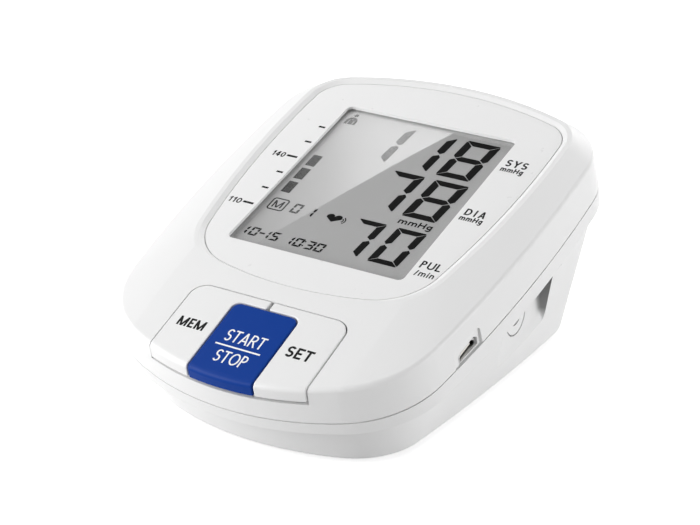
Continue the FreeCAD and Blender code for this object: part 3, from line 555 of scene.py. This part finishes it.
def glyph(letter, w, h, t):
    """Outlines of one letter in a box w wide, h being the height of capitals.

    a, m and z are the middles of its left, middle and right strokes, x_top is the height of small letters,
    and q the radius of each half of an S.
    """
    a, m, z = t / 2, w / 2, w - t / 2
    x_top = 0.74 * h
    q = (h - t) / 4
    if letter == "M":
        return [leg(a, 0, a, h, t), leg(z, 0, z, h, t), leg(m, 0, a, h, t), leg(m, 0, z, h, t)]
    if letter == "E":
        return [leg(a, 0, a, h, t), beam(t, w, a, t), beam(t, w - a, h / 2, t), beam(t, w, h - a, t)]
    if letter == "S":
        return [bow(m, h - a - q, m - a, q, 28, 270, t), bow(m, a + q, m - a, q, 90, -152, t)]
    if letter == "T":
        return [beam(0, w, h - a, t), leg(m, 0, m, h - t, t)]
    if letter == "A":
        return [leg(a, 0, m, h, t), leg(z, 0, m, h, t), beam(0.24 * w, 0.76 * w, 0.3 * h, t)]
    if letter in "PR":
        body = [leg(a, 0, a, h, t)] + bowl(t, w - 0.04 * h, 0.44 * h, h, t)
        return body + ([leg(z, 0, m, 0.46 * h, t)] if letter == "R" else [])
    if letter in "O0":
        return hoop(0, w, 0, h, t)
    if letter == "Y":
        return [leg(m, 0.42 * h, a, h, t), leg(m, 0.42 * h, z, h, t), leg(m, 0, m, 0.5 * h, t)]
    if letter == "D":
        return [leg(a, 0, a, h, t)] + bowl(t, w, 0, h, t)
    if letter == "I":
        return [leg(m, 0, m, h, t)]
    if letter == "U":
        r = 0.34 * h
        return [leg(a, r, a, h, t), leg(z, r, z, h, t), bow(m, r, m - a, r - a, 180, 360, t)]
    if letter == "L":
        return [leg(a, 0, a, h, t), beam(t, w, a, t)]
    if letter == "H":
        return [leg(a, 0, a, h, t), leg(z, 0, z, h, t), beam(t, w - t, h / 2, t)]
    if letter == "m":
        return [leg(a, 0, a, x_top, t)] + arch(a, m, x_top, t) + arch(m, z, x_top, t)
    if letter == "n":
        return [leg(a, 0, a, x_top, t)] + arch(a, z, x_top, t)
    if letter == "i":
        return [leg(m, 0, m, x_top, t), beam(m - a, m + a, h - a, t)]
    if letter == "g":
        tail = bow(m, -0.1 * h, m - a, 0.17 * h, 200, 360, t)
        return hoop(0, w, 0, x_top, t) + [leg(z, -0.1 * h, z, x_top, t), tail]
    if letter == "/":
        return [leg(a, -0.05 * h, z, h, t)]
    if letter == "1":
        return [leg(z, 0, z, h, t), leg(a, 0.66 * h, z, 0.94 * h, t)]
    if letter == "4":
        return [leg(0.7 * w, 0, 0.7 * w, h, t), leg(a, 0.3 * h, 0.7 * w, h, t), beam(a, w, 0.28 * h, t)]
    raise ValueError("no outline for " + letter)


INK_STEP = 0.0005         # rise of each stroke over the last, so that none share a face
WIDTHS = {                # of the letters, against each other
    "M": 0.88, "E": 0.5, "S": 0.54, "T": 0.58, "A": 0.72, "P": 0.56, "R": 0.62, "O": 0.8, "0": 0.55,
    "Y": 0.7, "D": 0.74, "I": 0.16, "U": 0.72, "L": 0.52, "H": 0.72, "m": 0.9, "n": 0.54, "i": 0.16,
    "g": 0.56, "/": 0.34, "1": 0.34, "4": 0.56,
}


def words(text, name, box, material, place, body="unit", slot="panel_white", stroke=0.3, space=0.14):
    """A printed word. box is its left and right ends, its base line and the height of its capitals."""
    left, right, base, tall = box
    natural = sum(WIDTHS[c] for c in text) + space * (len(text) - 1)
    scale = (right - left) / natural
    bm = bmesh.new()
    x = 0.0
    layer = 0
    for letter in text:
        wide = WIDTHS[letter] * scale
        for points in glyph(letter, wide, tall, stroke):
            layer += 1
            slab(bm, [(x + px, py) for px, py in points], INK + INK_STEP * layer)
        x += wide + space * scale
    settle(bm, name, material, place(left, base), body)


def on_panel(x, s):
    return slope_place(x, s, PANEL_N)


# ---- display content ---------------------------------------------------------------------

LCD_SHIFT = Vector((-0.16, 0.18))        # the whole drawing, off the middle of the display
LEAN = math.tan(math.radians(4.0))       # lean of the digits
SYS_S = 11.3              # base lines of the three readings, the memory number and the clock
DIA_S = -6.1
PUL_S = -24.3
MEMORY_S = -14.5
CLOCK_S = -25.7
DIGIT_SEGMENTS = {"0": "abcdef", "1": "bc", "3": "abcdg", "5": "acdfg", "7": "abc", "8": "abcdefg"}


def on_lcd(x, s):
    return slope_place(x + LCD_SHIFT.x, s + LCD_SHIFT.y, LCD_N)


def segment_shapes(w, h, t, u, gap):
    """Outlines of the seven bars of a digit w wide and h high, with upright bars t and level bars u wide."""
    mid = h / 2
    tip = 0.38 * t
    nick = 0.12 * t
    upright = [
        (w - nick, h - nick - gap), (w, h - 2 * nick - gap), (w, mid + tip + gap),
        (w - tip, mid + gap), (w - t, mid + u / 2 + gap), (w - t, h - u - gap),
    ]
    level = [
        (gap + nick, h), (w - gap - nick, h), (w - gap, h - nick),
        (w - t - gap, h - u), (t + gap, h - u), (gap, h - nick),
    ]
    middle = [
        (tip + gap, mid), (t + gap, mid + u / 2), (w - t - gap, mid + u / 2),
        (w - tip - gap, mid), (w - t - gap, mid - u / 2), (t + gap, mid - u / 2),
    ]

    def flipped(points, across=False, down=False):
        return [(w - x if across else x, h - y if down else y) for x, y in points]

    return {
        "a": level, "b": upright, "c": flipped(upright, down=True), "d": flipped(level, down=True),
        "e": flipped(upright, True, True), "f": flipped(upright, True), "g": middle,
    }


def digit(bm, figure, x, s, w, h, t, u, gap):
    """One leaning digit with its lower left corner at (x, s)."""
    shapes = segment_shapes(w, h, t, u, gap)
    for letter in DIGIT_SEGMENTS[figure]:
        slab(bm, [(x + px + py * LEAN, s + py) for px, py in shapes[letter]])


def frame_line(bm, x0, y0, x1, y1, r, line):
    """A round-cornered frame, as four bars and four bent corners."""
    bar(bm, x0 + r, y0, x1 - r, y0 + line)
    bar(bm, x0 + r, y1 - line, x1 - r, y1)
    bar(bm, x0, y0 + r, x0 + line, y1 - r)
    bar(bm, x1 - line, y0 + r, x1, y1 - r)
    bend = r - line / 2
    corners = ((x1 - r, y1 - r, 0), (x0 + r, y1 - r, 90), (x0 + r, y0 + r, 180), (x1 - r, y0 + r, 270))
    for cx, cy, start in corners:
        slab(bm, bow(cx, cy, bend, bend, start, start + 90, line, 6))


def heart(bm, x, s):
    """A heart with two beats beside it."""
    wide, lobe = 1.95, 1.08
    left = arc(x - lobe, s + 1.85, lobe, 200, 0, 8)
    right = arc(x + lobe, s + 1.85, lobe, 180, -20, 8)
    slab(bm, left + right[1:] + [(x, s)])
    for r in (0.75, 1.35):
        slab(bm, bow(x + wide, s + 1.3, r, r, -50, 60, 0.3, 6))


def person(bm, x, s):
    """Sign of the user: a head over shoulders, two arms and a chest."""
    slab(bm, arc(x + 0.1, s + 4.05, 0.65, 0, 330, 11))
    slab(bm, bow(x, s + 1.3, 1.25, 1.4, 0, 180, 0.8))
    for side in (-1, 1):
        bar(bm, x + side * 1.25 - 0.4, s, x + side * 1.25 + 0.4, s + 1.3)
    bar(bm, x - 0.62, s, x + 0.62, s + 2.1)


def lcd_readings(black):
    """The three large readings: two pressures and the pulse."""
    bm = bmesh.new()
    upper = dict(w=9.5, h=15.6, t=2.2, u=1.9, gap=0.17)
    lower = dict(w=8.1, h=13.7, t=1.95, u=1.65, gap=0.16)
    for figure, x in (("1", -13.4), ("1", -1.45), ("8", 10.75)):
        digit(bm, figure, x, SYS_S, **upper)
    digit(bm, "7", -0.7, DIA_S, **dict(upper, w=8.9))
    digit(bm, "8", 10.95, DIA_S, **upper)
    digit(bm, "7", 1.2, PUL_S, **dict(lower, w=7.8))
    digit(bm, "0", 11.9, PUL_S, **lower)
    settle(bm, "lcd_digits", black, on_lcd(0, 0), "unit")


def lcd_small_marks(black):
    """Date and time, the memory's frame and number, heart and user."""
    bm = bmesh.new()
    clock = dict(w=2.25, h=3.2, t=0.6, u=0.55, gap=0.07)
    for figure, x in (("1", -24.1), ("0", -21.1), ("1", -17.85), ("5", -15.1),
                      ("1", -11.2), ("0", -8.4), ("3", -5.1), ("0", -2.4)):
        digit(bm, figure, x, CLOCK_S, **clock)
    bar(bm, -18.4, CLOCK_S + 1.35, -16.9, CLOCK_S + 1.9)
    for s in (CLOCK_S + 2.3, CLOCK_S + 0.7):
        bar(bm, -5.9, s, -5.5, s + 0.42)
    memory = dict(w=2.4, h=3.7, t=0.62, u=0.6, gap=0.07)
    for figure, x in (("0", -16.15), ("1", -12.2)):
        digit(bm, figure, x, MEMORY_S, **memory)
    frame_line(bm, -22.6, -15.1, -17.85, -10.3, 0.9, 0.42)
    heart(bm, -4.0, -14.3)
    person(bm, -21.3, 23.2)
    settle(bm, "lcd_small_marks", black, on_lcd(0, 0), "unit")


def lcd_level_bars(black):
    bm = bmesh.new()
    for s in (3.9, -1.9, -7.8):
        bar(bm, -22.75, s, -20.1, s + 4.6)
    settle(bm, "lcd_level_bars", black, on_lcd(0, 0), "unit")


def lcd_words(black):
    words("M", "lcd_memory_letter", (-21.6, -18.9, -14.05, 2.7), black, on_lcd, slot="lcd_grey", stroke=0.44)
    words("mmHg", "lcd_unit_word", (11.6, 20.8, -9.05, 1.95), black, on_lcd, slot="lcd_grey", stroke=0.42)


# ---- print on the panel and the keys -----------------------------------------------------


def panel_print(black):
    """Words and scale beside the display."""
    words("SYS", "word_sys", (26.1, 31.95, 18.95, 2.7), black, on_panel, stroke=0.47)
    words("mmHg", "word_sys_unit", (25.9, 31.95, 16.8, 1.75), black, on_panel, stroke=0.35)
    words("DIA", "word_dia", (25.95, 31.4, -2.0, 2.5), black, on_panel, stroke=0.43, space=0.36)
    words("mmHg", "word_dia_unit", (25.65, 31.75, -4.05, 1.75), black, on_panel, stroke=0.35)
    words("PUL", "word_pul", (25.65, 31.1, -23.4, 2.6), black, on_panel, stroke=0.43)
    words("/min", "word_pul_unit", (25.8, 30.85, -26.2, 1.85), black, on_panel, stroke=0.32, space=0.2)
    words("140", "scale_high", (-32.65, -28.9, 3.6, 2.05), black, on_panel, stroke=0.36)
    words("110", "scale_low", (-32.6, -28.9, -16.9, 2.05), black, on_panel, stroke=0.36)
    marks = bmesh.new()
    for s in (18.47, 11.6, -2.1, -8.97):
        bar(marks, -27.25, s - 0.32, -25.4, s + 0.32)
    for s in (4.75, -15.8):
        bar(marks, -28.4, s - 0.36, -25.4, s + 0.36)
    settle(marks, "scale_marks", black, on_panel(0, 0), "unit")


def key_print(black, white):
    """Words on the keys."""
    white_key = dict(place=deck_place, slot="key_white")
    blue_key = dict(place=deck_place, slot="key_blue", body="start_stop_key", stroke=0.4, space=0.1)
    words("MEM", "word_mem", (-18.8, -11.5, -59.85, 2.85), black, body="mem_key", stroke=0.53, space=0.13,
          **white_key)
    words("SET", "word_set", (11.1, 17.9, -60.1, 3.3), black, body="set_key", stroke=0.6, space=0.1,
          **white_key)
    words("START", "word_start", (-5.2, 5.25, -60.45, 3.6), white, **blue_key)
    words("STOP", "word_stop", (-4.3, 4.3, -66.75, 3.6), white, **blue_key)
    rule = bmesh.new()
    bar(rule, -6.1, -0.22, 6.1, 0.22)
    settle(rule, "rule_between_words", white, deck_place(-0.2, -61.8), "start_stop_key")


# ---- build the object --------------------------------------------------------------------

WHITE = moulded("case_moulding", grey(0.83), 0.42)
KEY_WHITE = moulded("key_moulding", grey(0.83), 0.38)
KEY_BLUE = moulded("blue_key_moulding", (0.002, 0.042, 0.278, 1.0), 0.36, cloud=0.05, gloss=0.1)
INNER = moulded("inner_moulding", grey(0.62), 0.5)
BLACK_PLASTIC = moulded("black_moulding", grey(0.02), 0.45, cloud=0.1)
SLEEVE = moulded("capacitor_sleeve", (0.02, 0.03, 0.09, 1.0), 0.25, cloud=0.1)
BLACK_INK = ink("black_ink", grey(0.005))
WHITE_INK = ink("white_ink", grey(0.86))
DARK_CRYSTAL = lcd_segment("dark_crystal", grey(0.014))
BAR_CRYSTAL = lcd_segment("bar_crystal", grey(0.006))
STEEL = metal("plated_steel", grey(0.72), 0.26)
CREAM = moulded("cream_moulding", (0.86, 0.84, 0.78, 1.0), 0.35)
CAN_STEEL = metal("drawn_can", grey(0.50), 0.34, 0.004)
TUBE = rubber("silicone_tube", grey(0.62), 0.45, 0.4)
BLACK_RUBBER = rubber("black_foam", grey(0.03), 0.85, 0.1)
FOOT_RUBBER = rubber("foot_rubber", grey(0.33), 0.75)

dress("upper_housing", "case_top", WHITE)
dress("lower_housing", "case_bottom", bottom_moulding())
dress("display_panel", "panel_face", printed_sheet())
dress("display_window", "panel_pane", clear_pane())
dress("lcd_glass", "lcd_cell", lcd_ground())
dress("mem_button", "key_mem", KEY_WHITE, "mem_key")
dress("set_button", "key_set", KEY_WHITE, "set_key")
dress("start_stop_button", "key_start_stop", KEY_BLUE, "start_stop_key")
dress("usb_socket", "usb_shell", inlet_steel())
dress("air_socket", "air_port", KEY_WHITE)
dress("battery_door", "door_moulding", WHITE, "door")
dress("rubber_feet", "foot_pads", FOOT_RUBBER)
dress("case_screws", "screws_of_case", STEEL)
dress("board_screws", "screws_of_board", STEEL)
dress("battery_cells", "cells", cell_jacket())
dress("contact_springs", "cell_springs", STEEL)
dress("pump_motor", "motor_can", CAN_STEEL)
dress("pump_head", "pump_block", BLACK_PLASTIC)
dress("pump_tube", "tube_from_pump", TUBE)
dress("socket_tube", "tube_to_port", TUBE)
dress("sensor_tube", "tube_to_sensor", TUBE)
dress("air_manifold", "manifold_block", INNER)
dress("exhaust_valve", "valve_can", CAN_STEEL)
dress("pressure_sensor", "sensor_block", BLACK_PLASTIC)
dress("socket_lock_ring", "port_lock_ring", INNER)
dress("storage_capacitor", "capacitor_can", SLEEVE)
dress("buzzer", "buzzer_can", BLACK_PLASTIC)
dress("key_switches", "switches", BLACK_PLASTIC)
dress("lcd_holder", "holder_of_lcd", INNER)
dress("main_board", "board", circuit_board())
dress("mem_plunger", "stem_mem", BLACK_PLASTIC, "mem_key")
dress("start_stop_plunger", "stem_start_stop", BLACK_PLASTIC, "start_stop_key")
dress("set_plunger", "stem_set", BLACK_PLASTIC, "set_key")
paint("control_chip", BLACK_PLASTIC)
paint("usb_tongue", CREAM)
paint("contact_plates", STEEL)
paint("lcd_connectors", BLACK_RUBBER)
paint("pump_pad", BLACK_RUBBER)

panel_print(BLACK_INK)
key_print(BLACK_INK, WHITE_INK)
lcd_readings(DARK_CRYSTAL)
lcd_small_marks(DARK_CRYSTAL)
lcd_level_bars(BAR_CRYSTAL)
lcd_words(DARK_CRYSTAL)

# ---- stage, light and camera -------------------------------------------------------------

SKY_LEVEL = 0.15
FLOOR_SIZE = 4.0          # metres, half its width
FLOOR_GLOW = 0.7          # its own light near the object, which leaves room for the shadow
FLOOR_NEAR = 0.35         # metres from the middle at which that light begins to climb
FLOOR_CLIMB = 1.0         # metres over which it reaches white

MIDDLE = Vector((0.0, 0.0, 0.03))
LAMP_FAR = 0.9            # metres from the object's middle
LAMP_SIZE = 0.6

EYE = Vector((231.14, -376.62, 228.04)) * MM
EYE_DOWN = math.radians(24.387)          # how far it looks down, and is turned about the vertical
EYE_ROUND = math.radians(31.774)
EYE_ON_SLOPE = Matrix.Rotation(-CASE_TILT, 3, "X") @ (EYE - SLOPE_ORIGIN) / MM
EYE_FOOT = EYE_ON_SLOPE.xy               # its foot on the plane of the clear pane
EYE_RISE = EYE_ON_SLOPE.z - PANE_N       # and its height above that plane

# The card's outlines are drawn where the eye sees them mirrored on the pane. CARD_FALL is the edge between
# its bright part and its black part.
CARD_RISE = 300.0         # height of the card above the pane
CARD_LIGHT = 2.7
CARD_FALL = ((7.9, 30.5), (7.24, 29.1), (0.7, 14.9), (-6.8, -3.3), (-14.2, -21.5), (-17.7, -30.5))
CARD_LIT = CARD_FALL + ((-27.0, -30.5), (-27.0, 30.5))
CARD_DARK = CARD_FALL + ((-17.7, -90.0), (80.0, -90.0), (80.0, 30.5))
CARD_CLIMB = Vector((0.863, 0.504))      # way in which its light climbs, and from where to where
CARD_DIM = -32.0
CARD_BRIGHT = 13.0
CARD_TONES = (            # share of that way, and the light's tone there
    (0.0, 0.02), (0.09, 0.1), (0.33, 0.35), (0.44, 0.46),
    (0.54, 0.64), (0.65, 0.82), (0.8, 0.95), (1.0, 1.0),
)


def stage_floor():
    """Pale floor that keeps a soft shadow and stays white to the eye."""
    bm = bmesh.new()
    bmesh.ops.create_grid(bm, x_segments=1, y_segments=1, size=FLOOR_SIZE)
    mesh = mesh_of(bm, "floor")
    g = Graph("pale_floor")
    matt = g.node("BsdfDiffuse", {}, {"Color": g.blend(g.noise(40.0), grey(0.62), grey(0.64))})
    away = g.node("VectorMath", {"operation": "LENGTH"}, {0: g.here()}, out="Value")
    level = g.climb(away, FLOOR_NEAR, FLOOR_CLIMB) * (1.0 - FLOOR_GLOW) + FLOOR_GLOW
    glow = g.node("Emission", {}, {"Color": grey(1.0), "Strength": g.background() * level})
    mesh.materials.append(g.ends(g.node("AddShader", {}, {0: matt, 1: glow})))
    add_object("floor", mesh)


def sky():
    """White where it is seen, and a low even light on the object."""
    g = Graph("studio", "worlds")
    lit = g.node("Background", {}, {"Color": grey(1.0), "Strength": SKY_LEVEL})
    seen = g.node("Background", {}, {"Color": grey(1.0), "Strength": 1.0})
    either = g.node("MixShader", {}, {0: g.background(), 1: lit, 2: seen})
    bpy.context.scene.world = g.ends(either, "OutputWorld")


def softbox(name, azimuth, height, watts):
    """Square lamp aimed at the middle of the object. Azimuth 0 is in front of it and 90 on its right."""
    lamp = bpy.data.lights.new(name, "AREA")
    lamp.shape = "SQUARE"
    lamp.size = LAMP_SIZE
    lamp.energy = watts
    a, e = math.radians(azimuth), math.radians(height)
    back = Vector((math.sin(a) * math.cos(e), -math.cos(a) * math.cos(e), math.sin(e)))
    holder = add_object(name, lamp)
    holder.location = MIDDLE + back * LAMP_FAR
    holder.rotation_euler = back.to_track_quat("Z", "Y").to_euler()


def mirrored(point):
    """Place on the card that the eye sees mirrored at a point of the pane."""
    return EYE_FOOT + (Vector(point) - EYE_FOOT) * (1.0 + CARD_RISE / EYE_RISE)


def card_light():
    """Light that climbs over the card from the display's lower left to its upper right."""
    g = Graph("window_light")
    place = g.slope()
    way = g.axis(place, "X") * CARD_CLIMB.x + g.axis(place, "Y") * CARD_CLIMB.y
    dim, bright = [mirrored(CARD_CLIMB * far).dot(CARD_CLIMB) for far in (CARD_DIM, CARD_BRIGHT)]
    stops = [(share, grey(level)) for share, level in CARD_TONES]
    tone = g.node("ValToRGB", {"stops": stops}, {0: g.climb(way, dim, bright - dim)})
    return g.ends(g.node("Emission", {}, {"Color": tone, "Strength": CARD_LIGHT}))


def card_black():
    g = Graph("window_flag")
    return g.ends(g.node("BsdfDiffuse", {}, {"Color": grey(0.01)}))


def window_card():
    """Card that the clear pane mirrors over the display: bright on the left part of it, black on the rest.

    It lies parallel to the pane, and only rays from a mirror or through glass find it.
    """
    bm = bmesh.new()
    for half, outline in enumerate((CARD_LIT, CARD_DARK)):
        face = bm.faces.new([bm.verts.new((*mirrored(point) * MM, 0.0)) for point in outline])
        face.material_index = half
    bmesh.ops.transform(bm, matrix=slope_place(0.0, 0.0, PANE_N + CARD_RISE), verts=bm.verts)
    mesh = mesh_of(bm, "window_card")
    mesh.materials.append(card_light())
    mesh.materials.append(card_black())
    card = add_object("window_card", mesh)
    card.visible_camera = False
    card.visible_diffuse = False
    card.visible_shadow = False


def camera():
    lens = bpy.data.cameras.new("camera")
    lens.sensor_width = 36.0
    lens.lens = 101.76
    lens.clip_start = 0.01
    lens.clip_end = 20.0
    holder = add_object("camera", lens)
    holder.location = EYE
    holder.rotation_euler = (math.pi / 2 - EYE_DOWN, 0.0, EYE_ROUND)
    bpy.context.scene.camera = holder


stage_floor()
sky()
softbox("left", -75.0, 40.0, 3.05)
softbox("left_front", -38.0, 18.0, 6.9)
softbox("right", 103.0, 8.0, 6.2)
softbox("behind", 180.0, 33.0, 3.9)
window_card()
camera()
bpy.context.scene.view_settings.view_transform = "Standard"
